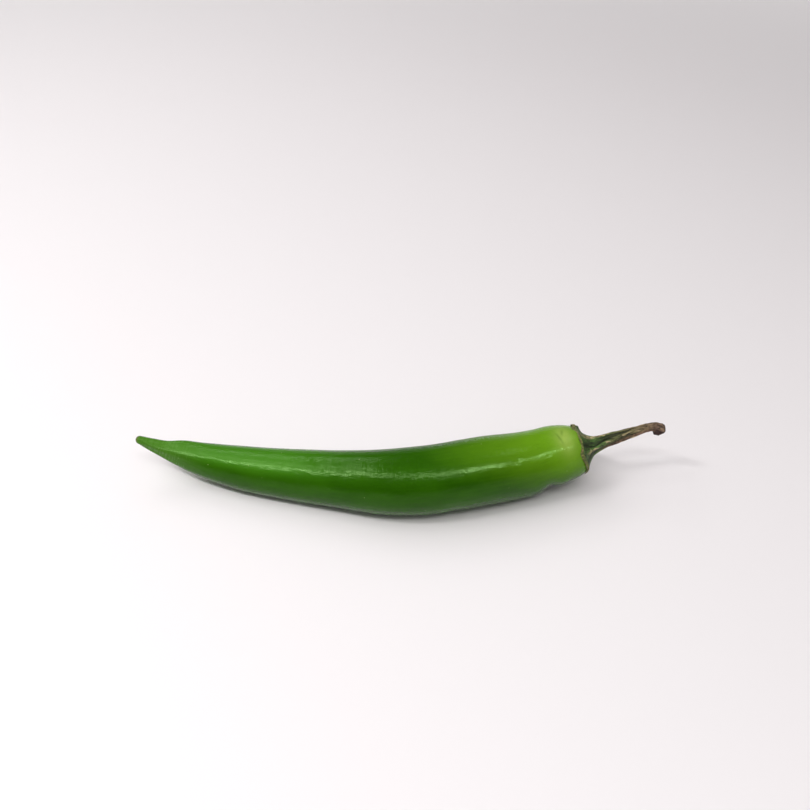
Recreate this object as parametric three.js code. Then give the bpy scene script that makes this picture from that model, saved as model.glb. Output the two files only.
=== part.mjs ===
// A green chilli pepper lying on its side. Millimetres, +Z up, the tip toward -X and the stalk toward +X.
// It is two solids. The pod is one curved, tapering fruit. The stalk widens without a seam into the calyx,
// the small cap over the pod's shoulder, so the stalk and the calyx are one piece.
// Each solid is first turned on a lathe along a straight axis, and is then bent along one shared spine.

import * as THREE from "three";

// The spine runs from the pod's tip, along the middle of the pod, and on through the stalk to its cut end.
// The belly of the curve bows toward -Y and rests on the floor. Both ends rise off it.
const SPINE_POINTS = [
  [-75.1, 3.2, 13.5],
  [-68.3, 2.7, 10.6],
  [-57.0, 0.9, 7.7],
  [-42.0, -2.4, 6.7],
  [-22.0, -6.5, 7.5],
  [-3.0, -9.7, 8.95],
  [10.0, -9.2, 9.45],
  [24.0, -6.2, 9.5],
  [36.0, -3.1, 9.35],
  [46.0, -0.8, 10.9],
  [54.0, 0.2, 13.2],
  [60.6, 0.9, 15.2],
  [66.5, 1.6, 17.0],
  [70.2, 2.1, 18.1],
  [72.4, 2.4, 18.4],
  [73.9, 2.3, 17.6],
  [74.3, 2.0, 16.3],
];

// Sizes below are distances along the spine from the tip, and radii about it.
const TIP_RADIUS = 1.2; // the blunt end of the tip
const POD_RADII = [
  // [distance along the spine, radius]
  [1.2, 1.2],
  [7.0, 2.2],
  [13.0, 3.5],
  [20.0, 4.85],
  [32.0, 6.4],
  [48.0, 7.4],
  [62.0, 8.2],
  [75.0, 9.2],
  [88.0, 9.68],
  [101.0, 9.7],
  [111.0, 9.45],
  [119.0, 9.05],
];
const SHOULDER_START = 119.0; // here the pod begins to round over toward the stalk
const SHOULDER_LENGTH = 15.2; // to the pole of the rounding curve
const SHOULDER_POWER = 2.35; // 2 is an ellipse, and more is squarer
const SHOULDER_FIRST = 0.2; // the share of a quarter turn where the shoulder's first row lies
const DISH_RADIUS = 6.4; // the shallow dish in the pod's base, under the calyx
const DISH_DEPTH = 0.6;

const CALYX_GAP = 0.5; // between the pod's base and the calyx, measured along the spine
const CALYX_RADIUS = 7.0;
const CALYX_LOBES = 5;
const CALYX_LOBE_HEIGHT = 0.35; // how far each lobe of the rim reaches past the mean radius
const STALK_RADII = [
  // [distance past the calyx's rim, radius]
  [0.6, 6.8],
  [1.3, 5.4],
  [2.4, 4.1],
  [3.8, 3.1],
  [5.5, 2.5],
  [8.5, 2.05],
  [12.0, 1.75],
  [15.5, 1.5],
  [18.5, 1.36],
  [21.0, 1.38],
  [22.3, 1.5],
  [23.3, 1.7],
  [24.0, 1.85],
];
const STALK_END_ROUND = 0.6; // the worn edge of the cut end
const STALK_END_SLANT = 0.35; // rise of the cut end per millimetre across it

const POD_SIDES = 48; // facets round each solid, and rows along each stretch of its profile
const POD_ROWS = 38;
const SHOULDER_ROWS = 9;
const STALK_SIDES = 30;
const STALK_ROWS = 34;
const ARC_ROWS = 6;

const spine = new THREE.CatmullRomCurve3(SPINE_POINTS.map((p) => new THREE.Vector3(...p)));
spine.arcLengthDivisions = 800;
const spineLength = spine.getLength();

/** The distance along the spine of the pod's shoulder curve where its radius is r. */
function shoulderAt(r) {
  const shoulderRadius = POD_RADII.at(-1)[1];
  const left = 1 - (r / shoulderRadius) ** SHOULDER_POWER;
  return SHOULDER_START + SHOULDER_LENGTH * left ** (1 / SHOULDER_POWER);
}

/** The distance along the spine of the pod's base at radius r: a shallow dish inside the shoulder. */
function baseAt(r) {
  if (r >= DISH_RADIUS) {
    return shoulderAt(r);
  }
  return shoulderAt(DISH_RADIUS) - DISH_DEPTH * (1 - (r / DISH_RADIUS) ** 2);
}

/** A smooth run of lathe points through [distance, radius] pairs. */
function smoothRun(pairs, steps) {
  const curve = new THREE.SplineCurve(pairs.map(([along, r]) => new THREE.Vector2(r, along)));
  return curve.getSpacedPoints(steps);
}

/** Evenly spread values from first to last, with both ends. */
function spread(first, last, steps) {
  return Array.from({ length: steps + 1 }, (_, i) => first + ((last - first) * i) / steps);
}

/** The pod's profile: a round tip, the tapering side, the shoulder and the dished base. */
function podProfile() {
  const tip = spread(0, Math.PI / 2, ARC_ROWS).map(
    (a) => new THREE.Vector2(TIP_RADIUS * Math.sin(a), TIP_RADIUS * (1 - Math.cos(a))),
  );
  const side = smoothRun(POD_RADII, POD_ROWS);
  const shoulderRadius = POD_RADII.at(-1)[1];
  const shoulder = spread(SHOULDER_FIRST, 1, SHOULDER_ROWS).map((t) => {
    const r = DISH_RADIUS + (shoulderRadius - DISH_RADIUS) * Math.cos((t * Math.PI) / 2);
    return new THREE.Vector2(r, shoulderAt(r));
  });
  const base = spread(DISH_RADIUS, 0, ARC_ROWS).map((r) => new THREE.Vector2(r, baseAt(r)));
  return [...tip, ...side.slice(1), ...shoulder, ...base.slice(1)];
}

/** The stalk's profile: the calyx's underside, its rim, the flare, the stalk and the end's round edge. */
function stalkProfile() {
  const under = spread(0, CALYX_RADIUS, 2 * ARC_ROWS).map(
    (r) => new THREE.Vector2(r, baseAt(r) + CALYX_GAP),
  );
  const rimAlong = baseAt(CALYX_RADIUS) + CALYX_GAP;
  const pairs = STALK_RADII.map(([past, r]) => [rimAlong + past, r]);
  const upper = smoothRun(pairs, STALK_ROWS);
  const [endPast, endRadius] = STALK_RADII.at(-1);
  const endAlong = rimAlong + endPast + STALK_END_ROUND;
  const end = [
    new THREE.Vector2(endRadius - STALK_END_ROUND / 2, endAlong - STALK_END_ROUND / 3),
    new THREE.Vector2(endRadius - STALK_END_ROUND, endAlong),
    new THREE.Vector2(0, endAlong),
  ];
  return [...under, ...upper, ...end];
}

/**
 * Pushes the calyx's rim in and out in lobes, which die away toward its middle. A point that moves out also
 * moves down the pod's shoulder, so that the gap under the calyx stays even.
 */
function lobeCalyx(geometry) {
  const position = geometry.attributes.position;
  for (let i = 0; i < position.count; i += 1) {
    const x = position.getX(i);
    const z = position.getZ(i);
    const r = Math.hypot(x, z);
    const weight = THREE.MathUtils.smoothstep(r, 4, CALYX_RADIUS);
    if (weight > 0) {
      const lobed = r + CALYX_LOBE_HEIGHT * weight * Math.cos(CALYX_LOBES * Math.atan2(x, z));
      position.setX(i, (x * lobed) / r);
      position.setY(i, position.getY(i) + baseAt(lobed) - baseAt(r));
      position.setZ(i, (z * lobed) / r);
    }
  }
}

/** Slants the stalk's cut end, so that it isn't square to the stalk. */
function slantEnd(geometry) {
  const position = geometry.attributes.position;
  const endAlong = baseAt(CALYX_RADIUS) + CALYX_GAP + STALK_RADII.at(-1)[0];
  for (let i = 0; i < position.count; i += 1) {
    const along = position.getY(i);
    const weight = THREE.MathUtils.smoothstep(along, endAlong - 1.5, endAlong + 0.3);
    position.setY(i, along + STALK_END_SLANT * weight * position.getX(i));
  }
}

/**
 * Bends a lathed solid, whose axis is +Y, along the spine, and presses flat what would sink into the floor.
 * The lathe's z goes sideways, its x goes up, and its y is the distance along the spine.
 */
function bendAlongSpine(geometry) {
  const position = geometry.attributes.position;
  for (let i = 0; i < position.count; i += 1) {
    const share = THREE.MathUtils.clamp(position.getY(i) / spineLength, 0, 1);
    const tangent = spine.getTangentAt(share);
    const sideways = new THREE.Vector3(0, 1, 0).addScaledVector(tangent, -tangent.y).normalize();
    const up = new THREE.Vector3().crossVectors(tangent, sideways);
    const point = spine.getPointAt(share);
    point.addScaledVector(up, position.getX(i)).addScaledVector(sideways, position.getZ(i));
    position.setXYZ(i, point.x, point.y, Math.max(point.z, 0));
  }
  geometry.computeVertexNormals();
}

/** The pod: one solid fruit, glossy green. */
function makePod() {
  const geometry = new THREE.LatheGeometry(podProfile(), POD_SIDES);
  bendAlongSpine(geometry);
  const skin = new THREE.MeshStandardMaterial({ color: 0x3f6e14, roughness: 0.25, metalness: 0 });
  const pod = new THREE.Mesh(geometry, skin);
  pod.name = "pod";
  return pod;
}

/** The stalk and the calyx: one solid, dull green going brown toward the cut end. */
function makeStalkWithCalyx() {
  const geometry = new THREE.LatheGeometry(stalkProfile(), STALK_SIDES);
  lobeCalyx(geometry);
  slantEnd(geometry);
  bendAlongSpine(geometry);
  const bark = new THREE.MeshStandardMaterial({ color: 0x5b6236, roughness: 0.7, metalness: 0 });
  const stalk = new THREE.Mesh(geometry, bark);
  stalk.name = "stalk_with_calyx";
  return stalk;
}

const chilli = new THREE.Group();
chilli.add(makePod(), makeStalkWithCalyx());

// The origin is on the floor, under the middle of the whole pepper.
const middle = new THREE.Box3().setFromObject(chilli).getCenter(new THREE.Vector3());
for (const piece of chilli.children) {
  piece.geometry.translate(-middle.x, -middle.y, 0);
}

export default chilli;
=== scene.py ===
# %% [markdown]
# # A green chilli pepper
# This lesson builds a long green chilli pepper around a plain model that already has the right size. The
# plain model is the frame. It says where the pod and the stalk are, and nothing here moves it or resizes it.
# Each piece is then made again as a fine surface with the lumps, dents and grain of a real pepper.
# Lengths are worked out in millimetres, because a pepper is small, and become metres in the mesh.

import bpy
import numpy as np
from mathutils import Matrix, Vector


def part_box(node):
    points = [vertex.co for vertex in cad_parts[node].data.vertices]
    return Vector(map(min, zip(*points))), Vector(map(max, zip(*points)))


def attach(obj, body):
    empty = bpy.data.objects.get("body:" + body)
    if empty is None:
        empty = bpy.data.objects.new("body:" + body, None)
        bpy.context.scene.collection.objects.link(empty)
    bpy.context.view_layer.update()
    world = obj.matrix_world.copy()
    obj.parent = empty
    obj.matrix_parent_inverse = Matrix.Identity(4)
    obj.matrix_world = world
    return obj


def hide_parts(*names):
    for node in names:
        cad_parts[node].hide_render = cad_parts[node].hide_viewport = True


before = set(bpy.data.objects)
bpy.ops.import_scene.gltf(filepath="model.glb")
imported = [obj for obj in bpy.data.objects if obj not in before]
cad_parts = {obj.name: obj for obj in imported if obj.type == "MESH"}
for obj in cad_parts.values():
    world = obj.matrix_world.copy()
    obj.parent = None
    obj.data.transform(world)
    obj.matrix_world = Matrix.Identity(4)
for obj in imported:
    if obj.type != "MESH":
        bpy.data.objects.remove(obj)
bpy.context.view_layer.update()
MM = 0.001
print("the frame's nodes:", sorted(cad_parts))

# %% [markdown]
# ## The camera
# The pepper is small and is looked at from close by, so the view has clear perspective: the middle of the
# pod looks nearer than its ends. A 40 mm lens at about 26 cm gives that. The camera looks down at 40 degrees.

# %% Make the camera
CAMERA_PLACE = (1.64, -182.36, 186.55)  # mm
CAMERA_PITCH = 40.0  # degrees below level

camera_data = bpy.data.cameras.new("camera")
camera_data.lens = 40.0
camera_data.sensor_width = 36.0
camera_data.clip_start = 0.01
camera = bpy.data.objects.new("camera", camera_data)
camera.location = [x * MM for x in CAMERA_PLACE]
camera.rotation_euler = (np.radians(90.0 - CAMERA_PITCH), 0.0, 0.0)
bpy.context.scene.collection.objects.link(camera)
bpy.context.scene.camera = camera
print("camera at", [round(x, 4) for x in camera.location])

# %% [markdown]
# ## The spine
# Pod and stalk grow along one curved line. Everything on the pepper can then be said with two numbers: how
# far along the spine it is, and which way round it. A Catmull-Rom spline passes through every point that it
# is given, which makes it easy to place by hand. Its knots are spaced by the square root of each gap, so
# that it doesn't overshoot where the points are close together, as they are in the stalk's hooked end.

# %% The spine and its frame of directions
SPINE_POINTS = [
    (-75.1, 3.2, 13.5),
    (-68.3, 2.7, 10.6),
    (-57.0, 0.9, 7.7),
    (-42.0, -2.4, 6.7),
    (-22.0, -6.5, 7.5),
    (-3.0, -9.7, 8.95),
    (10.0, -9.2, 9.45),
    (24.0, -6.2, 9.5),
    (36.0, -3.1, 9.35),
    (46.0, -0.8, 10.9),
    (54.0, 0.2, 13.2),
    (60.6, 0.9, 15.2),
    (66.5, 1.6, 17.0),
    (70.2, 2.1, 18.1),
    (72.4, 2.4, 18.4),
    (73.9, 2.3, 17.6),
    (74.3, 2.0, 16.3),
]


def smooth_through(points, steps=120):
    """Points along a centripetal Catmull-Rom spline through the given ones.

    Between two points the curve is a cubic that leaves and arrives with the slopes that the neighbours on
    each side give, weighted by the square roots of the gaps.
    """
    given = np.array(points, float)
    ends = 2 * given[0] - given[1], 2 * given[-1] - given[-2]
    p = np.vstack([ends[0], given, ends[1]])
    gap = np.sqrt(np.linalg.norm(np.diff(p, axis=0), axis=1))[:, None]
    before, here, after = gap[:-2], gap[1:-1], gap[2:]
    a, b, c, d = p[:-3], p[1:-2], p[2:-1], p[3:]
    leave = ((b - a) / before - (c - a) / (before + here) + (c - b) / here) * here
    arrive = ((c - b) / here - (d - b) / (here + after) + (d - c) / after) * here
    t = np.linspace(0, 1, steps, endpoint=False)[None, :, None]
    b, c, leave, arrive = (x[:, None, :] for x in (b, c, leave, arrive))
    curve = b + leave * t + (3 * (c - b) - 2 * leave - arrive) * t**2
    curve = curve + (2 * (b - c) + leave + arrive) * t**3
    return np.vstack([curve.reshape(-1, given.shape[1]), given[-1:]])


spine = smooth_through(SPINE_POINTS)
spine_along = np.r_[0, np.cumsum(np.linalg.norm(np.diff(spine, axis=0), axis=1))]
spine_tangent = np.gradient(spine, spine_along, axis=0)
spine_tangent /= np.linalg.norm(spine_tangent, axis=1)[:, None]
print("the spine is", round(spine_along[-1], 1), "mm long")


def at_distance(along, values):
    """The values of a quantity known along the spine, read at other distances, column by column."""
    return np.stack([np.interp(along, spine_along, column) for column in values.T], -1)


def on_spine(along, turn, radius):
    """Points at a distance along the spine, a turn about it and a radius from it.

    The point is the spine's own point, plus radius times cosine of the turn upward, less radius times sine
    of the turn sideways. So turn 0 is the top, a quarter turn is the near side and a half turn underneath.
    """
    tangent = at_distance(along, spine_tangent)
    tangent /= np.linalg.norm(tangent, axis=-1, keepdims=True)
    sideways = np.array([0.0, 1.0, 0.0]) - tangent * tangent[..., 1:2]
    sideways /= np.linalg.norm(sideways, axis=-1, keepdims=True)
    upward = np.cross(tangent, sideways)
    out = upward * np.cos(turn)[..., None] - sideways * np.sin(turn)[..., None]
    return at_distance(along, spine) + out * radius[..., None]


# %% [markdown]
# ## Numbers that vary smoothly
# A pepper has no hard edges, so nearly every change on it is a soft step or a soft lump. The lumps are
# random, but they come from a numbered seed, so the pepper is the same each time that it is grown.

# %% Soft steps, lumps and dents
FULL_TURN = 2 * np.pi


def soft_step(x, start, end):
    """0 before start and 1 after end, with an S-shaped rise between: 3 t squared less 2 t cubed."""
    t = np.clip((x - start) / (end - start), 0, 1)
    return t * t * (3 - 2 * t)


def plateau(x, start, full, fade, end):
    """0 before start, 1 from full to fade and 0 after end: a soft step up, times one less a soft step."""
    return soft_step(x, start, full) * (1 - soft_step(x, fade, end))


def bell(x, width):
    """A bell curve, which is 1 where x is 0: e to the power of minus the square of x over the width."""
    return np.exp(-((x / width) ** 2))


def lumps(along, turn, length, count, seed):
    """Smooth random lumps from -1 to 1.

    Random heights stand on a lattice, one every `length` mm along and `count` of them round the piece, and
    are joined by S-shaped curves. The lattice closes on itself round the piece, so there is no seam.
    """
    heights = np.random.default_rng(seed).uniform(-1, 1, (512, count))
    x, y = along / length + 64, (turn / FULL_TURN) % 1 * count
    i, j = np.floor(x).astype(int), np.floor(y).astype(int)
    u, v = soft_step(x - i, 0, 1), soft_step(y - j, 0, 1)
    near = heights[i, j % count] * (1 - v) + heights[i, (j + 1) % count] * v
    far = heights[i + 1, j % count] * (1 - v) + heights[i + 1, (j + 1) % count] * v
    return near * (1 - u) + far * u


def turned(turn, place):
    """The angle from `place` to `turn`, from minus a half turn to a half turn."""
    return (turn - place + np.pi) % FULL_TURN - np.pi


def dent(along, turn, radius, place, size, slant=0.0):
    """A soft hollow: a bell curve along, times a bell curve across.

    `place` is its distance along and its turn in degrees, `size` is its half length along and half width
    across in mm, and `slant` leans it over, in mm along for each mm across.
    """
    across = turned(turn, np.radians(place[1])) * radius
    down = along - place[0] - slant * across
    return bell(down, size[0]) * bell(across, size[1])


print("halfway along, a soft step is", soft_step(0.5, 0, 1), "and a bell is", round(bell(0.5, 1), 2))

# %% [markdown]
# ## The pod's profile
# Seen straight, the pod is a long taper: a blunt tip, a side that fattens toward the stalk, a shoulder and a
# shallow dish where the calyx sits. The side is one spline through a few radii. The shoulder is a
# superellipse, a curve between an ellipse and a box, because a pepper's shoulder is fuller than an ellipse.

# %% Radii along the pod
TIP_RADIUS = 1.2
POD_RADII = [
    (1.2, 1.2),
    (7.0, 2.2),
    (13.0, 3.5),
    (20.0, 4.85),
    (32.0, 6.4),
    (48.0, 7.4),
    (62.0, 8.2),
    (75.0, 9.2),
    (88.0, 9.68),
    (101.0, 9.7),
    (111.0, 9.45),
    (119.0, 9.05),
]
SHOULDER_START, SHOULDER_RADIUS = POD_RADII[-1]
SHOULDER_LENGTH = 15.2
SHOULDER_POWER = 2.35
DISH_RADIUS = 6.4
DISH_DEPTH = 0.6


def shoulder_at(radius):
    """How far along the shoulder is where its radius is this: its length times the p-th root of what 1
    leaves after the radius's share to the power p."""
    left = 1 - (radius / SHOULDER_RADIUS) ** SHOULDER_POWER
    return SHOULDER_START + SHOULDER_LENGTH * np.maximum(left, 0) ** (1 / SHOULDER_POWER)


def base_at(radius):
    """How far along the pod's base is at this radius: the shoulder, and inside it a shallow round dish."""
    dish = shoulder_at(DISH_RADIUS) - DISH_DEPTH * (1 - (radius / DISH_RADIUS) ** 2)
    return np.where(radius >= DISH_RADIUS, shoulder_at(radius), dish)


def pod_profile():
    """(distance along, radius) from the tip's pole, round the tip, up the side, over the shoulder, into the
    dish and to its middle."""
    quarter = np.linspace(0, np.pi / 2, 24)
    tip = np.c_[TIP_RADIUS * (1 - np.cos(quarter)), TIP_RADIUS * np.sin(quarter)]
    side = smooth_through(POD_RADII, 40)
    inward = DISH_RADIUS + (SHOULDER_RADIUS - DISH_RADIUS) * np.cos(quarter[4:])
    shoulder = np.c_[shoulder_at(inward), inward]
    middle = np.linspace(DISH_RADIUS, 0, 24)[1:]
    dish = np.c_[base_at(middle), middle]
    return np.vstack([tip, side[1:], shoulder, dish])


def evenly(profile, rows):
    """The same line with `rows` points, spaced evenly along its own length."""
    walked = np.r_[0, np.cumsum(np.linalg.norm(np.diff(profile, axis=0), axis=1))]
    places = np.linspace(0, walked[-1], rows)
    return np.stack([np.interp(places, walked, column) for column in profile.T], -1)


profile = pod_profile()
length, thickness = profile[:, 0].max(), 2 * profile[:, 1].max()
print("the pod is", round(length, 1), "mm along its curve and", round(thickness, 1), "mm thick")

# %% [markdown]
# ## The pod's skin
# A plain lathed shape looks like plastic, because its highlight is a ruler-straight line. A real pod has
# faint ribs inside that show as three broad lobes near the stalk, flutes near the tip, slow lumps along its
# length, and a few dents from the way it hung and was packed. Nearly all of them are fractions of a
# millimetre high, and show only in how they bend the highlight. One rib lies right under the bright line and
# keeps it thin and even. Each of them is a term added to the radius.

# %% The skin's relief
RIB_START = 4.14  # three times the turn at which the near rib would start, at the tip
RIB_TWIST = 0.02  # how much of that it loses with each mm along

# Depth in mm, place as mm along and degrees round, half length and half width in mm, and slant. A bulge has
# a depth below zero.
DENTS = [
    (0.19, (56.5, 18), (2.4, 3.2), 0.3),  # two hollows that break up the sheen
    (0.26, (65.0, 28), (2.6, 3.4), 0.3),
    (0.09, (88.5, 36), (4.0, 1.5), 0.2),  # a kink in the bright line
    (0.20, (124.9, 14), (0.7, 2.2), 0.35),  # two creases on the shoulder
    (0.12, (126.4, 4), (0.6, 1.4), -0.3),
    (-0.15, (124.6, 30), (2.2, 3.5), 0.0),  # the swelling below them
    (-0.34, (13.5, -35), (3.6, 2.6), 0.0),  # a knuckle near the tip, and the waist before it
    (0.18, (8.5, -25), (2.5, 2.0), 0.0),
    (1.35, (119.3, 138), (2.6, 5.5), 0.0),  # the notch under the shoulder
    (0.55, (125.0, 140), (3.4, 5.5), 0.0),
    (0.30, (92.0, 132), (3.0, 5.0), 0.0),  # a shallow waist underneath
]


def pod_relief(along, turn, radius):
    """What the skin adds to the plain radius, in mm.

    The lobes are a cosine of three times the turn from the rib, and one of the turn itself. The rib's crest
    is a bell curve across it. The flutes are a cosine of five times the turn. The lumps are random, in three
    sizes. Each dent takes its depth times its bell curve away.
    """
    whole = soft_step(radius, 0.8, 4.0)
    from_rib = turned(turn, (RIB_START - RIB_TWIST * along) / 3)
    lobes = 0.17 * soft_step(along, 70, 112) * (np.cos(3 * from_rib) + np.cos(turn + 0.7))
    crest = 0.05 * soft_step(along, 88, 100) * bell(from_rib * radius, 2.2)
    flutes = 0.16 * (1 - soft_step(along, 6, 26)) * np.cos(5 * turn + 0.12 * along)
    slow = 0.15 * lumps(along, turn, 17, 5, 3) + 0.035 * lumps(along, turn, 8, 8, 4)
    fine = 0.012 * lumps(along, turn, 2.6, 22, 5)
    relief = (lobes + crest + slow + fine) * whole + flutes * soft_step(radius, 1.1, 2.0)
    for depth, place, size, slant in DENTS:
        relief -= depth * dent(along, turn, radius, place, size, slant)
    return relief


print("the skin has", len(DENTS), "dents and bulges")

# %% [markdown]
# ## From a grid to a mesh
# Each piece is a grid of points wound round the spine, so one function can close every one of them. The mesh
# also carries numbers for its material to read. The chief one is where a vertex would be if the pepper were
# pulled straight, because the grain of a pepper follows its bend.

# %% Mesh helpers


def closed_mesh(name, points):
    """A closed mesh from a grid of points. Its rows go from pole to pole, and its columns round and round.

    The first and the last row each lie in one point, and become one vertex and a fan of triangles.
    """
    rows, columns = points.shape[:2]
    inner = points[1:-1].reshape(-1, 3)
    vertices = np.vstack([points[:1, 0], inner, points[-1:, 0]]) * MM
    number = 1 + np.arange((rows - 2) * columns).reshape(rows - 2, columns)
    beside = np.roll(number, -1, axis=1)
    quads = np.stack([number[:-1], beside[:-1], beside[1:], number[1:]], -1).reshape(-1, 4)
    last = len(vertices) - 1
    start = np.c_[np.zeros(columns, int), beside[0], number[0]]
    end = np.c_[np.full(columns, last), number[-1], beside[-1]]
    mesh = bpy.data.meshes.new(name)
    mesh.from_pydata(vertices.tolist(), [], quads.tolist() + start.tolist() + end.tolist())
    mesh.shade_smooth()
    piece = bpy.data.objects.new(name, mesh)
    bpy.context.scene.collection.objects.link(piece)
    return piece


def paint(piece, name, grid):
    """Stores one number, or one vector, for each vertex, so that a material can read it by name."""
    values = np.concatenate([grid[:1, 0], grid[1:-1].reshape(-1, *grid.shape[2:]), grid[-1:, 0]])
    if values.ndim == 2:
        layer = piece.data.attributes.new(name, "FLOAT_VECTOR", "POINT")
        layer.data.foreach_set("vector", values.astype(np.float32).ravel())
    else:
        layer = piece.data.attributes.new(name, "FLOAT", "POINT")
        layer.data.foreach_set("value", values.astype(np.float32))


def straightened(along, turn, radius):
    """Where a point would be if the pepper were pulled straight: along, then up and across. Grain and
    streaks follow the pepper's bend when they are drawn in these coordinates."""
    return np.stack([along, radius * np.cos(turn), radius * np.sin(turn)], -1)


def grid_of(profile, rows, columns):
    """Distance along, turn and radius at every point of a grid on a lathed profile."""
    line = evenly(profile, rows)
    turn = np.arange(columns) * FULL_TURN / columns
    along, turn = np.meshgrid(line[:, 0], turn, indexing="ij")
    radius = np.repeat(line[:, 1:], columns, axis=1)
    return along, turn, radius


# %% [markdown]
# ## The pod in its place
# The frame puts the middle of the whole pepper over the origin. A plain pod is wound first, only to see how
# far it lies from the frame's own pod, and the spine moves by that. Then the fine one is made. It is pressed
# flat underneath where it rests, as a real one is by its own weight. A painted highlight on the shoulder and
# painted shade in its creases are stored too, for the colour.

# %% Make the pod
POD_ROWS = 430
POD_COLUMNS = 208
# Where the painted highlight on the shoulder lies, and its size.
SHOULDER_HIGHLIGHT = (126.6, 16), (3.2, 5.0)
# Painted shade in the shoulder's two creases.
CREASE_SHADES = [((124.9, 14), (0.45, 1.9), 0.35), ((126.4, 4), (0.45, 1.2), -0.3)]

plain = on_spine(*grid_of(profile, 160, 96))
low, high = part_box("pod")
frame_middle = np.array([low[i] + high[i] for i in (0, 1)]) / 2 / MM
plain_middle = (plain.min(axis=(0, 1)) + plain.max(axis=(0, 1)))[:2] / 2
shift = frame_middle - plain_middle
spine[:, :2] += shift
print("the spine moves by", shift.round(2), "mm to lie in the frame")

along, turn, radius = grid_of(profile, POD_ROWS, POD_COLUMNS)
skin_radius = radius + pod_relief(along, turn, radius) * (radius > 0)
points = on_spine(along, turn, skin_radius)
points[..., 2] = np.maximum(points[..., 2], 0.0)
pod = closed_mesh("pod_skin_surface", points)
paint(pod, "straight", straightened(along, turn, radius))
paint(pod, "turn_cos", np.cos(turn))
paint(pod, "painted_highlight", dent(along, turn, radius, *SHOULDER_HIGHLIGHT))
paint(pod, "crease_shade", sum(dent(along, turn, radius, *crease_shade) for crease_shade in CREASE_SHADES))
print("the pod has", len(pod.data.vertices), "vertices")

# %% [markdown]
# ## The stalk and the calyx
# The calyx is what is left of the flower's cup. It sits on the shoulder as a thin cap with a few pointed
# lobes, and its edge has dried to brown cork. It narrows without a seam into the stalk, which is not round:
# a rib runs from each lobe along the stalk, with furrows between the ribs that twist a little. It was cut,
# so it ends in a swollen, bent knob. One lathed profile gives the rough shape of all of it.

# %% The stalk's profile
CALYX_GAP = 0.22  # the real calyx is grown on; this leaves the dark line under its edge
CALYX_RADIUS = 7.0
RIM_LIFT = 0.5  # from the shoulder up to the rim's edge
STALK_RADII = [
    # (distance past the calyx's rim, radius)
    (0.6, 6.8),
    (1.3, 5.4),
    (2.4, 4.1),
    (3.8, 3.1),
    (5.5, 2.5),
    (8.5, 2.05),
    (12.0, 1.75),
    (15.5, 1.5),
    (18.5, 1.36),
    (21.0, 1.38),
    (22.3, 1.5),
    (23.3, 1.7),
    (24.0, 1.85),
]
CUT_ROUND = 0.8, 1.0  # how far the cut end's worn edge reaches, along and inward
CUT_HOLLOW = 0.25
rim_along = float(base_at(np.array(CALYX_RADIUS))) + RIM_LIFT


def stalk_profile():
    """(distance along, radius) from the middle of the calyx's underside, out to its rim, round the rim, up
    the flare, along the stalk, and over the cut end to its middle."""
    under = np.linspace(0, CALYX_RADIUS, 60)
    under = np.c_[base_at(under) + CALYX_GAP, under]
    pairs = [(rim_along + past, radius) for past, radius in STALK_RADII]
    upper = smooth_through(pairs, 40)
    end_along, end_radius = pairs[-1]
    quarter = np.linspace(0, np.pi / 2, 12)[1:]
    worn_along = end_along + CUT_ROUND[0] * np.sin(quarter)
    worn_radius = end_radius - CUT_ROUND[1] * (1 - np.cos(quarter))
    edge = np.c_[worn_along, worn_radius]
    cut = np.linspace(edge[-1, 1], 0, 16)[1:]
    cut = np.c_[edge[-1, 0] - CUT_HOLLOW * (1 - (cut / edge[-1, 1]) ** 2), cut]
    return np.vstack([under, upper, edge, cut])


print("the calyx's rim is", round(rim_along, 1), "mm along the spine")

# %% [markdown]
# ## The stalk's bark
# Bark is rough at every size, so its relief is a sum of many small terms, like the pod's. Ribs and strands
# twist along the stalk. Wrinkles ring it where it bends. Four furrows are deep enough to hold a shadow, so
# each of those is listed one by one.

# %% The bark's relief
LOBES = 5
STRANDS = 13

# Depth in mm, place in degrees round, and where it starts and ends, in mm past the calyx's rim.
FURROWS = [
    (0.42, 48, (0.6, 12.0)),
    (0.30, 96, (0.2, 5.5)),
    (0.26, 2, (3.0, 17.0)),
    (0.30, 75, (13.0, 21.5)),
]


def ridge(turn, count, lean=0.0):
    """Ribs with round tops and narrow furrows, from -1 to 1: 1 less twice the size of a sine to the power
    0.8. A bigger lean turns them further round."""
    return 1 - 2 * np.abs(np.sin(count * turn / 2 + lean)) ** 0.8


def furrow(past, turn, radius, place, reach):
    """A groove that runs lengthwise: a bell curve across it, times a plateau along it. Its middle sways from
    `place`, in degrees, by a sine of the distance along. `reach` is where it starts and ends."""
    sway = 0.18 * np.sin(0.9 * past + place)
    across = turned(turn, np.radians(place) + sway) * radius
    return bell(across, 0.32) * plateau(past, reach[0], reach[0] + 1.5, reach[1] - 3, reach[1])


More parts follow.
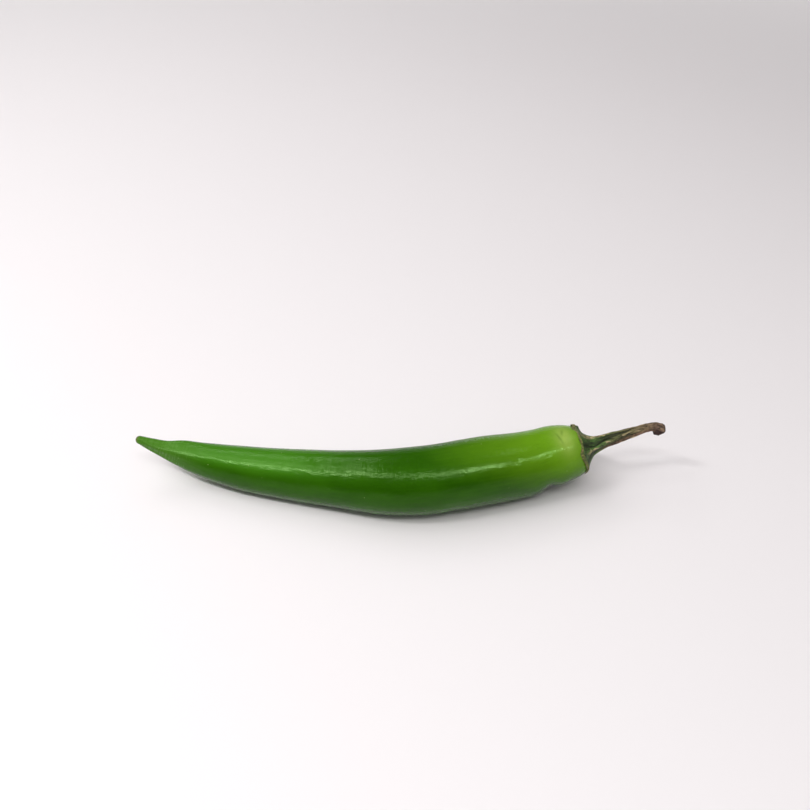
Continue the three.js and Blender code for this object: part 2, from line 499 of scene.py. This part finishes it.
def stalk_relief(past, turn, radius):
    """What bark adds to the stalk's plain radius, in mm.

    Ribs and strands are ridges that grow with the radius, and the flare has ribs of its own that don't
    twist. Wrinkles are a sine of the distance along. Bark and knots are random lumps. Each furrow's depth
    is taken away.
    """
    slim = soft_step(past, 2.0, 9.0)
    twist = 0.05 * past + 0.25 * lumps(past, turn, 6, 3, 21)
    ribs = 0.085 * radius * ridge(turn, LOBES, twist)
    strands = 0.04 * radius * ridge(turn, STRANDS, 1.7 * twist)
    flare_ribs = 0.30 * (1 - slim) * soft_step(past, 0.3, 2.0) * ridge(turn, LOBES)
    bark = 0.13 * lumps(past, turn + 0.06 * past, 4.5, 13, 22) + 0.05 * lumps(past, turn, 0.9, 40, 23)
    rings = np.sin(past * 5.5 + 2 * lumps(past, turn, 2, 6, 24))
    wrinkles = 0.05 * rings * soft_step(past, 17.5, 20.5)
    knots = 0.12 * lumps(past, turn, 3.0, 6, 25) * soft_step(past, 1, 4)
    relief = (ribs + strands) * slim + bark + flare_ribs + wrinkles + knots
    for depth, place, reach in FURROWS:
        relief -= depth * furrow(past, turn, radius, place, reach)
    return relief


print("the stalk has", LOBES, "ribs,", STRANDS, "strands and", len(FURROWS), "furrows")

# %% [markdown]
# ## The calyx's edge and the stalk's build
# The edge of a calyx dries, shrinks and tears, so it is ragged, and on the far side it runs out in one long
# point. Where the edge moves outward it also has to slide down the shoulder, or it would stand off the pod.
# The stalk itself is thinner in places than a lathe makes it. It also bends a little away from the spine.

# %% Make the stalk
STALK_ROWS = 400
STALK_COLUMNS = 224
CALYX_DEPTH = 3.0  # what lies less than this past the rim is still calyx
FLARE_RADIUS = 3.9  # and inside this radius it has left the shoulder
CUT_SLANT = 0.35  # mm along for each mm across the cut end
SWAY_BACK = 0.4  # mm toward the far side
LIFT = 0.25  # mm


def far_point(turn):
    """1 at the calyx's long point on the far side: a bell curve of the turn."""
    return bell(turned(turn, -0.75), 0.30)


def raggedness(turn):
    """How far the calyx's edge reaches past its mean, in mm: a ridge for each lobe, random tears of two
    sizes, and the far point, less a little."""
    level = np.zeros_like(turn)
    tears = 0.20 * lumps(level, turn, 1, 14, 31) + 0.12 * lumps(level, turn, 1, 37, 32)
    return 0.16 * ridge(turn, LOBES, 0.35) + tears + 0.50 * far_point(turn) - 0.12


def thinning(past, turn):
    """How much thinner the stalk is than its profile, in mm: a plateau along its outer half, and one where
    it leaves the calyx, times a bell curve round its lower side."""
    hollow = 0.40 * plateau(past, 1.5, 3.5, 7, 11) * bell(turned(turn, 2.2), 0.7)
    return 0.13 * plateau(past, 9, 14, 20.5, 22.5) + hollow


along, turn, radius = grid_of(stalk_profile(), STALK_ROWS, STALK_COLUMNS)
past = along - rim_along
is_calyx = past < CALYX_DEPTH
is_under = np.arange(STALK_ROWS)[:, None] < np.argmax(radius[:, 0])
near_rim = soft_step(radius, 4.0, CALYX_RADIUS) * is_calyx
new_radius = radius + near_rim * raggedness(turn)
slide = np.where(radius > FLARE_RADIUS, base_at(new_radius) - base_at(radius), 0) * is_calyx
new_along = along + slide + 0.8 * far_point(turn) * near_rim

bark = stalk_relief(past, turn, radius) * soft_step(radius, 0.6, 1.6)
strength = np.where(is_under, 0, 1) * (1 - 0.75 * near_rim)
new_radius = np.maximum(new_radius + bark * strength - thinning(past, turn), 0)
new_along -= CUT_SLANT * soft_step(past, 22.8, 24.4) * new_radius * np.cos(turn)
points = on_spine(new_along, turn, new_radius)
points[..., 1] += SWAY_BACK * plateau(past, 5, 12, 19, 22.5)
points[..., 2] += LIFT * soft_step(past, 9, 16)
stalk = closed_mesh("stalk_and_calyx_surface", points)
paint(stalk, "straight", straightened(past, turn, radius))
paint(stalk, "relief", bark)
paint(stalk, "turn_cos", np.cos(turn))
paint(stalk, "rim", near_rim)
print("the stalk has", len(stalk.data.vertices), "vertices")

# %% [markdown]
# ## Shader sums written as Python
# A material is a graph of nodes, and even a small sum takes several of them. The class below wraps one
# output socket, so that `1 - mask * 0.5` builds its nodes by itself. Colours are mixed, never added, because
# a Math node would turn them grey.

# %% A small shader kit


class Value:
    """One output socket of a shader, which Python can do sums with."""

    def __init__(self, shader, socket):
        self.shader = shader
        self.socket = socket

    def __add__(self, other):
        return self.shader.math("ADD", self, other)

    def __sub__(self, other):
        return self.shader.math("SUBTRACT", self, other)

    def __rsub__(self, other):
        return self.shader.math("SUBTRACT", other, self)

    def __mul__(self, other):
        return self.shader.math("MULTIPLY", self, other)

    __radd__ = __add__
    __rmul__ = __mul__


class Shader:
    """A material and the nodes in it."""

    def __init__(self, name):
        self.material = bpy.data.materials.new(name)
        self.material.use_nodes = True
        self.tree = self.material.node_tree
        self.tree.nodes.clear()

    def node(self, kind, settings=None, inputs=None):
        """Adds a node: its settings first, then its inputs, each a number, a colour or a Value."""
        made = self.tree.nodes.new(kind)
        for name, value in (settings or {}).items():
            setattr(made, name, value)
        by_name = {s.name: s for s in reversed(made.inputs)} | {s.identifier: s for s in made.inputs}
        for name, value in (inputs or {}).items():
            if isinstance(value, Value):
                self.tree.links.new(value.socket, by_name[name])
            else:
                by_name[name].default_value = value
        return made

    def output(self, made, name):
        """One output of a node, found by its name or its identifier."""
        by_name = {s.name: s for s in reversed(made.outputs)} | {s.identifier: s for s in made.outputs}
        return Value(self, by_name[name])

    def math(self, operation, *terms):
        """One Math node, whose terms are numbers or Values."""
        made = self.node("ShaderNodeMath", {"operation": operation})
        for socket, term in zip(made.inputs, terms, strict=False):
            if isinstance(term, Value):
                self.tree.links.new(term.socket, socket)
            else:
                socket.default_value = term
        return self.output(made, "Value")

    def attribute(self, name, output="Fac"):
        """What `paint` stored under this name: a number, or a vector if that output is asked for."""
        made = self.node("ShaderNodeAttribute", {"attribute_name": name})
        return self.output(made, output)

    def stretched(self, vector, scale):
        """The vector with each of its parts multiplied: a bigger number packs the pattern closer."""
        inputs = {"Vector": vector, "Vector_001": scale}
        made = self.node("ShaderNodeVectorMath", {"operation": "MULTIPLY"}, inputs)
        return self.output(made, "Vector")

    def noise(self, vector, scale, detail=3.0, roughness=0.5):
        """Cloudy noise from 0 to 1, about 0.5 on average. `scale` is a number, or three for a stretch."""
        if not isinstance(scale, (int, float)):
            vector, scale = self.stretched(vector, scale), 1.0
        inputs = {"Vector": vector, "Scale": scale, "Detail": detail, "Roughness": roughness}
        return self.output(self.node("ShaderNodeTexNoise", None, inputs), "Fac")

    def step(self, value, start, end, low=0.0, high=1.0):
        """A soft step from low to high as the value goes from start to end."""
        inputs = {"Value": value, "From Min": start, "From Max": end, "To Min": low, "To Max": high}
        made = self.node("ShaderNodeMapRange", {"interpolation_type": "SMOOTHSTEP"}, inputs)
        return self.output(made, "Result")

    def blend(self, amount, first, second):
        """A colour that goes from the first to the second as the amount goes from 0 to 1."""
        settings = {"data_type": "RGBA", "blend_type": "MIX"}
        first, second = ((*c, 1.0) if isinstance(c, tuple) else c for c in (first, second))
        inputs = {"Factor_Float": amount, "A_Color": first, "B_Color": second}
        return self.output(self.node("ShaderNodeMix", settings, inputs), "Result_Color")

    def bump(self, height, distance, normal=None):
        """A normal that leans as the height changes, where height 1 stands `distance` metres proud."""
        inputs = {"Height": height, "Distance": distance, "Strength": 1.0}
        if normal is not None:
            inputs["Normal"] = normal
        return self.output(self.node("ShaderNodeBump", None, inputs), "Normal")

    def finish(self, piece, inputs):
        """Ends the graph in a surface with these inputs, and puts the material on the piece."""
        surface = self.node("ShaderNodeBsdfPrincipled", None, inputs)
        out = self.node("ShaderNodeOutputMaterial")
        self.tree.links.new(surface.outputs["BSDF"], out.inputs["Surface"])
        piece.data.materials.clear()
        piece.data.materials.append(self.material)


print("the shader kit is ready")

# %% [markdown]
# ## The finish of the pod
# The skin is a thin clear wax over green flesh. The green isn't one colour: it is deepest along the middle
# of the pod, goes lime toward the stalk, where the fruit is youngest, and is paler and duller at the tip.
# Its top toward the tip is painted a lighter green, as painted light, and less lime underneath is painted
# shade. The shoulder has a painted highlight, and painted shade in its two creases.
# Fine streaks run lengthwise in the colour, and a few pale specks dot it. Across the streaks run finer hoops
# in the wax itself. They are too shallow to see as colour, and only roughen the highlight, so they go in the
# bump. The wax is rubbed duller on the far side.

# %% The pod's material
DEEP_GREEN = (0.016, 0.074, 0.0006)
LEAF_GREEN = (0.026, 0.108, 0.0014)
LIME_GREEN = (0.130, 0.300, 0.008)
TIP_GREEN = (0.075, 0.210, 0.020)
TIP_BROWN = (0.120, 0.120, 0.030)
LIT_TOP_GREEN = (0.054, 0.215, 0.008)
HIGHLIGHT_LIME = (0.330, 0.470, 0.085)
PALE_SPECK = (0.330, 0.420, 0.160)


def finish_pod(pod):
    skin = Shader("waxy_green_skin")
    straight = skin.attribute("straight", "Vector")
    parts = skin.node("ShaderNodeSeparateXYZ", None, {"Vector": straight})
    along = skin.output(parts, "X")
    across = skin.output(parts, "Z")
    up = skin.attribute("turn_cos")

    # The flesh: cloudy and streaky deep green.
    clouds = skin.noise(straight, (0.09, 0.16, 0.16), 3.0)
    streaks = skin.noise(straight, (0.10, 1.5, 1.5), 3.0)
    fine_streaks = skin.noise(straight, (0.25, 4.5, 4.5), 2.0)
    green = skin.blend(skin.step(clouds, 0.30, 0.80, 0.0, 0.8), DEEP_GREEN, LEAF_GREEN)
    green = skin.blend(skin.step(streaks, 0.45, 0.75, 0.0, 0.35), green, LEAF_GREEN)

    # Painted light: a lighter green along the top toward the tip. Lime toward the stalk, with less of it
    # underneath as painted shade. A painted highlight on the shoulder, and painted shade in its creases.
    lit_top = skin.step(up, 0.45, 0.9) * skin.step(along, 42.0, 72.0, 0.85, 0.12)
    green = skin.blend(lit_top, green, LIT_TOP_GREEN)
    # The lime is real, but it reaches further along the top than underneath: the lower flank is painted
    # shade.
    toward_stalk_and_top = along + 24 * up + 5 * skin.step(along, 118.0, 134.0)
    young_and_lit_top = skin.step(toward_stalk_and_top + 8 * (clouds - 0.5) + 5 * (streaks - 0.5), 104.0, 148.0)
    green = skin.blend(young_and_lit_top, green, LIME_GREEN)
    # The painted highlight on the shoulder.
    green = skin.blend(skin.attribute("painted_highlight") * 0.9, green, HIGHLIGHT_LIME)
    # Painted shade in the creases.
    green = skin.blend(skin.attribute("crease_shade") * 0.38, green, LEAF_GREEN)

    # Paler at the tip, with the flower's brown scar on its very end.
    tip = skin.step(along + 6 * (streaks - 0.5), 4.0, 26.0, 1.0, 0.0)
    green = skin.blend(tip * 0.8, green, TIP_GREEN)
    scar = skin.step(along + 1.2 * (fine_streaks - 0.5), 0.1, 1.1, 0.8, 0.0)
    green = skin.blend(scar, green, TIP_BROWN)
    green = skin.blend(skin.step(fine_streaks, 0.56, 0.74, 0.0, 0.15), green, LEAF_GREEN)

    # Pale specks: the middles of Voronoi cells, in a few patches only.
    cells = {"Vector": skin.stretched(straight, (0.55, 0.55, 0.55)), "Scale": 1.0}
    from_middle = skin.output(skin.node("ShaderNodeTexVoronoi", None, cells), "Distance")
    patches = skin.step(skin.noise(straight, 0.33, 1.0), 0.60, 0.66)
    specks = skin.step(from_middle, 0.05, 0.10, 1.0, 0.0) * patches
    green = skin.blend(specks * 0.6, green, PALE_SPECK)

    # The wax: hoops across, soft ripples, orange peel, and the streaks again.
    hoops = skin.noise(straight, (1.9, 0.25, 0.25), 3.0, 0.6)
    ripples = skin.noise(straight, (0.5, 0.9, 0.9), 2.0)
    peel = skin.noise(straight, 2.4, 2.0)
    normal = skin.bump(hoops, 0.000075)
    normal = skin.bump(ripples, 0.0001, normal)
    normal = skin.bump(peel, 0.000012, normal)
    normal = skin.bump(streaks, 0.00003, normal)
    rubbed = skin.step(across, -7.0, -2.0, 0.20, 0.0)
    gloss = skin.step(hoops, 0.3, 0.7, 0.15, 0.25) + tip * 0.08 + specks * 0.2 + rubbed
    skin.finish(
        pod,
        {
            "Base Color": green,
            "Roughness": gloss,
            "Normal": normal,
            "IOR": 1.34,
            "Specular Tint": (0.6, 1.0, 0.38, 1.0),
        },
    )
    print("the pod's skin has", len(skin.tree.nodes), "nodes")


finish_pod(pod)

# %% [markdown]
# ## The finish of the stalk and the calyx
# Near the pod the stalk is still green. Toward the cut end it has dried to olive and brown. Cork has grown
# along the ribs in tan streaks, which lean to the upper side as a painted highlight, and painted shade fills
# the furrows. The calyx is green inside and has a dry brown edge. The relief that shaped the surface is read
# again here, so that cork lies on the ribs and the painted shade in the furrows. The knob's underside is
# painted shade too.

# %% The stalk's material
STALK_GREEN = (0.088, 0.185, 0.034)
STALK_OLIVE = (0.165, 0.162, 0.062)
STALK_BROWN = (0.240, 0.160, 0.088)
UNDER_BROWN = (0.230, 0.120, 0.074)
CRACK_AND_SHADE_BROWN = (0.016, 0.017, 0.008)
TAN_CORK_AND_HIGHLIGHT = (0.590, 0.460, 0.250)
KNOB_BROWN = (0.225, 0.132, 0.094)
CUT_AND_SHADE_MAROON = (0.045, 0.020, 0.016)
RIM_BROWN = (0.165, 0.085, 0.034)
RIM_YELLOW = (0.235, 0.235, 0.055)


def finish_stalk(stalk):
    bark = Shader("corky_green_bark")
    straight = bark.attribute("straight", "Vector")
    parts = bark.node("ShaderNodeSeparateXYZ", None, {"Vector": straight})
    past = bark.output(parts, "X")
    relief = bark.attribute("relief")
    rim = bark.attribute("rim")
    up = bark.attribute("turn_cos")

    # Green near the pod, olive further out, then brown, and brown underneath.
    clouds = bark.noise(straight, (0.35, 0.6, 0.6), 3.0)
    strands = bark.noise(straight, (0.42, 2.3, 2.3), 4.0, 0.6)
    flecks = bark.noise(straight, (1.4, 4.5, 4.5), 3.0, 0.6)
    veins = bark.noise(straight, (0.30, 1.1, 1.1), 3.0, 0.55)
    colour = bark.blend(bark.step(past + 7 * (clouds - 0.5), 4.0, 13.5), STALK_GREEN, STALK_OLIVE)
    colour = bark.blend(bark.step(past + 6 * (clouds - 0.5), 10.5, 22.0), colour, STALK_BROWN)
    beneath = bark.step(up, -0.35, 0.3, 0.9, 0.0) * bark.step(past, 4.0, 9.0)
    colour = bark.blend(beneath, colour, UNDER_BROWN)
    colour = bark.blend(bark.step(past, 19.5, 22.5, 0.0, 0.7), colour, KNOB_BROWN)

    # Cork on what stands proud, with less of it on the calyx and the knob. It leans to the upper side, where
    # it is a painted highlight.
    proud = strands + 0.8 * relief + 0.08 * up
    cork = bark.step(proud, 0.56, 0.65) * bark.step(past, 0.5, 5.0, 0.35, 0.9)
    cork = cork * bark.step(past, 20.5, 22.0, 1.0, 0.3)
    colour = bark.blend(cork, colour, TAN_CORK_AND_HIGHLIGHT)

    # Dark cracks where a noise crosses its own middle, and painted shade in the hollows where the relief is
    # low.
    crack = bark.step(bark.math("ABSOLUTE", veins - 0.5), 0.006, 0.04, 1.0, 0.0)
    hollow = bark.step(relief + 0.3 * (flecks - 0.5), -0.36, -0.16, 1.0, 0.0)
    colour = bark.blend(bark.math("MAXIMUM", crack * 0.85, hollow * 0.8), colour, CRACK_AND_SHADE_BROWN)

    # The cut end is the darkest, and the knob's underside is painted shade in the same maroon.
    cut = bark.step(past + 0.6 * (flecks - 0.5), 23.9, 24.4, 0.0, 0.8)
    knob_underside_shade = bark.step(up, 0.0, 0.5, 0.95, 0.0) * bark.step(past, 21.0, 22.4)
    colour = bark.blend(bark.math("MAXIMUM", cut, knob_underside_shade), colour, CUT_AND_SHADE_MAROON)

    # The calyx's dry edge.
    corky = bark.blend(bark.step(strands, 0.42, 0.58), RIM_BROWN, RIM_YELLOW)
    corky = bark.blend(bark.step(flecks, 0.60, 0.72, 0.0, 0.7), corky, TAN_CORK_AND_HIGHLIGHT)
    edge = bark.step(rim + 0.6 * (flecks - 0.5), 0.90, 1.07)
    colour = bark.blend(edge, colour, corky)

    normal = bark.bump(strands, 0.0004)
    normal = bark.bump(crack, -0.00012, normal)
    normal = bark.bump(flecks, 0.00012, normal)
    rough = bark.step(strands, 0.3, 0.7, 0.48, 0.72)
    bark.finish(stalk, {"Base Color": colour, "Roughness": rough, "Normal": normal, "IOR": 1.4})
    print("the bark has", len(bark.tree.nodes), "nodes")


finish_stalk(stalk)

# %% [markdown]
# ## The sheet
# The pepper lies on a pale matt sheet that curves up into a low wall all round, as a studio's paper sweep
# does. The wall is lower in front than behind, because whatever stands in front of the pepper is mirrored in
# its near side.

# %% The sheet
SHEET_RADIUS = 1400.0
WALL_FRONT = 60.0
WALL_BACK = 500.0
PAPER_WHITE = (0.860, 0.822, 0.830, 1.0)


def rings_of(start, end, rings=60, spokes=96):
    """The distance from the middle and the direction of every point of a round grid."""
    reach, turn = np.linspace(start, end, rings), np.arange(spokes) * FULL_TURN / spokes
    return np.meshgrid(reach, turn, indexing="ij")


def sheet_height(reach, turn):
    """How high the sheet stands: flat out to half its radius, and from there it grows as the cube of the
    distance, up to a height that goes from that of the front to that of the back as the sheet turns."""
    wall = WALL_FRONT + (WALL_BACK - WALL_FRONT) * (1 + np.sin(turn)) / 2
    return wall * np.clip(2 * reach / SHEET_RADIUS - 1, 0, 1) ** 3


def open_sheet(name, reach, turn, height):
    """A thin round sheet from a round grid, with its face upward."""
    points = np.stack([reach * np.cos(turn), reach * np.sin(turn), height], -1).reshape(-1, 3)
    number = np.arange(reach.size).reshape(reach.shape)
    beside = np.roll(number, -1, axis=1)
    quads = np.stack([number[:-1], number[1:], beside[1:], beside[:-1]], -1).reshape(-1, 4)
    mesh = bpy.data.meshes.new(name)
    mesh.from_pydata((points * MM).tolist(), [], quads.tolist())
    mesh.shade_smooth()
    sheet = bpy.data.objects.new(name, mesh)
    bpy.context.scene.collection.objects.link(sheet)
    return sheet


reach, turn = rings_of(0.0, SHEET_RADIUS)
sheet = open_sheet("paper_sheet", reach, turn, sheet_height(reach, turn))
paper = Shader("white_paper")
paper.finish(sheet, {"Base Color": PAPER_WHITE, "Roughness": 0.7})
print("the sheet is", 2 * SHEET_RADIUS, "mm across")

# %% [markdown]
# ## The backdrop
# Far from the lights a paper sheet goes grey, and from low down its end would show as a hard line. So a pale
# backdrop fades in over the sheet's outer part and rises behind it, like the bright far end of a studio. It
# glows by itself, and only the camera sees it, so it changes neither the light nor the gloss of the pepper.

# %% The backdrop
BACKDROP_START = 320.0
BACKDROP_FULL = 900.0
BACKDROP_LIFT = 1.0
BACKDROP_RADIUS = 2600.0
BACKDROP_HEIGHT = 3000.0
BACKDROP_WHITE = (0.820, 0.795, 0.800, 1.0)


def backdrop_height(reach):
    """How high the backdrop stands: flat just over the sheet, and then it grows as the distance to the power
    1.5, which is steeper than the sheet."""
    climb = np.clip((reach - SHEET_RADIUS / 2) / (BACKDROP_RADIUS - SHEET_RADIUS / 2), 0, 1)
    return BACKDROP_LIFT + BACKDROP_HEIGHT * climb**1.5


reach, turn = rings_of(BACKDROP_START, BACKDROP_RADIUS)
backdrop = open_sheet("pale_backdrop", reach, turn, backdrop_height(reach))
layer = backdrop.data.attributes.new("reach", "FLOAT", "POINT")
layer.data.foreach_set("value", reach.astype(np.float32).ravel())
backdrop.visible_diffuse = False
backdrop.visible_glossy = False
backdrop.visible_transmission = False
backdrop.visible_shadow = False
glow = Shader("pale_backdrop")
shown = glow.step(glow.attribute("reach"), BACKDROP_START, BACKDROP_FULL)
glow.finish(
    backdrop,
    {
        "Base Color": (0.0, 0.0, 0.0, 1.0),
        "Specular IOR Level": 0.0,
        "Emission Color": BACKDROP_WHITE,
        "Emission Strength": 1.0,
        "Alpha": shown,
    },
)
print("the backdrop fades in from", BACKDROP_START, "mm")

# %% [markdown]
# ## The lights
# A glossy pod shows its lights as much as its colour, so there are two kinds of them. Two soft panels, one
# behind and one in front, bring out the colours and throw the shadows, and aren't mirrored. The others hang
# flat in one plane, each at the place that the pod mirrors toward the camera. An oval window on the left is
# the wide sheen toward the tip, and three strips along its edge are the brighter streaks in it. The strips
# in front are the long bright line. Those on the right would also make the sheet too bright, so they light
# nothing and only show in the gloss.

# %% Hang the lights
STRIP_HEIGHT = 600.0
WINDOW_HEIGHT = 602.0  # just above the strips, so that they don't share a plane


def panel(name, place, lean, turn, size, power, mirrored=True, lights=True, shape="RECTANGLE"):
    """A flat light at a place in mm. It faces straight down until it is leant about X and then turned about
    Z, in degrees. One that isn't mirrored lights the pepper without showing in its gloss, and one that
    doesn't light only shows in its gloss."""
    data = bpy.data.lights.new(name, "AREA")
    data.shape = shape
    data.size, data.size_y = size[0] * MM, size[1] * MM
    data.energy = power
    light = bpy.data.objects.new(name, data)
    light.location = [x * MM for x in place]
    light.rotation_euler = (np.radians(lean), 0.0, np.radians(turn))
    light.visible_glossy = mirrored
    light.visible_diffuse = lights
    bpy.context.scene.collection.objects.link(light)


panel("back_key", (200, 480, 560), -40, 0, (900, 600), 0.42, mirrored=False)
panel("front_fill", (90, -330, 700), 25, 0, (700, 500), 0.85, mirrored=False)
panel("left_window", (-520, 110, WINDOW_HEIGHT), 0, 0, (540, 720), 1.5, shape="ELLIPSE")
panel("window_side", (-285, 520, STRIP_HEIGHT), 0, 0, (50, 400), 0.7)
panel("window_corner", (-300, 30, STRIP_HEIGHT), 0, 0, (50, 180), 0.35)
panel("window_front", (-385, -172, STRIP_HEIGHT), 0, -20, (270, 40), 1.75)
panel("front_strip", (-20, -318, STRIP_HEIGHT), 0, -9, (480, 44), 1.2)
panel("right_strip", (335, -332, STRIP_HEIGHT), 0, 2, (260, 32), 1.9, lights=False)
panel("end_strip", (320, 200, STRIP_HEIGHT), 0, 0, (44, 200), 0.25, lights=False)

print("the scene has", len(bpy.data.lights), "panels")

# %% [markdown]
# ## The air
# A white room sends some light from everywhere, and more from its ceiling than from its floor. The world is
# that light. Its strength grows with how steeply a ray goes up, which is the Z of its direction. It isn't
# mirrored, because a pod that mirrors the whole sky loses its deep green.

# %% Fill the air
AIR_WHITE = (1.0, 0.98, 0.985, 1.0)
AIR_LEVEL = 0.09  # its strength from the side
AIR_ABOVE = 0.365  # and from a steepness of 0.8 up
AIR_STEEP = 0.8

world = bpy.data.worlds.new("studio_air")
world.use_nodes = True
air = world.node_tree
direction = air.nodes.new("ShaderNodeTexCoord")
height = air.nodes.new("ShaderNodeSeparateXYZ")
dome = air.nodes.new("ShaderNodeMapRange")
levels = {"From Min": 0.0, "From Max": AIR_STEEP, "To Min": AIR_LEVEL, "To Max": AIR_ABOVE}
for name, value in levels.items():
    dome.inputs[name].default_value = value
air.links.new(direction.outputs["Generated"], height.inputs["Vector"])
air.links.new(height.outputs["Z"], dome.inputs["Value"])
air.links.new(dome.outputs["Result"], air.nodes["Background"].inputs["Strength"])
air.nodes["Background"].inputs["Color"].default_value = AIR_WHITE
world.cycles_visibility.glossy = False
bpy.context.scene.world = world
bpy.context.scene.view_settings.view_transform = "Standard"
print("the air's light goes from", AIR_LEVEL, "to", AIR_ABOVE)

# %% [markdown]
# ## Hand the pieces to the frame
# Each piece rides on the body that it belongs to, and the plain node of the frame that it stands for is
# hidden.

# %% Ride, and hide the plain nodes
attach(pod, "root")
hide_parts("pod")
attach(stalk, "root")
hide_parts("stalk_with_calyx")

bpy.context.view_layer.update()
